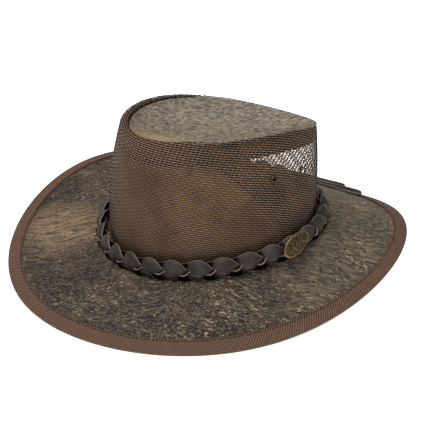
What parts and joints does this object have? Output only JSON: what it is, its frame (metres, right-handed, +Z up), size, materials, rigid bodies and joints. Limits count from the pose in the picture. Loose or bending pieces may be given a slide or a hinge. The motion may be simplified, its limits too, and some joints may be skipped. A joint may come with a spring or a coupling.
{
  "type": "leather outback hat",
  "caption": "Outback hat with a distressed leather brim bound in tape, an open-mesh crown with a leather teardrop top, a plaited leather band, an oval badge and vent eyelets",
  "frame": {"origin": "Bottom centre of the bounding box of the hat as it rests on its brim", "axes": "+X to the front of the hat, +Y to the wearer's left, +Z up"},
  "size_m": [0.3847, 0.325, 0.143],
  "materials": {
    "brim_leather": "distressed, waxed, satin",
    "binding_tape": "ribbed woven tape",
    "crown_mesh": "open woven mesh of coated yarn",
    "top_leather": "distressed, pale, satin",
    "lining_cloth": "plain cloth, mottled olive brown",
    "plait_leather": "smooth strips with cut edges",
    "badge_brass": "antiqued, dark in the hollows",
    "eyelet_metal": "blackened"
  },
  "bodies": {
    "root": {"brim": "brim_leather", "brim_binding": "binding_tape", "crown_wall": "crown_mesh", "crown_top": "top_leather", "crown_lining": "lining_cloth", "band_strand_1": "plait_leather", "band_strand_2": "plait_leather", "band_strand_3": "plait_leather", "band_tail_1": "plait_leather", "band_tail_2": "plait_leather", "concho": "badge_brass", "eyelet_right_rear": "eyelet_metal", "eyelet_right_front": "eyelet_metal", "eyelet_left_rear": "eyelet_metal", "eyelet_left_front": "eyelet_metal"}
  },
  "joints": []
}
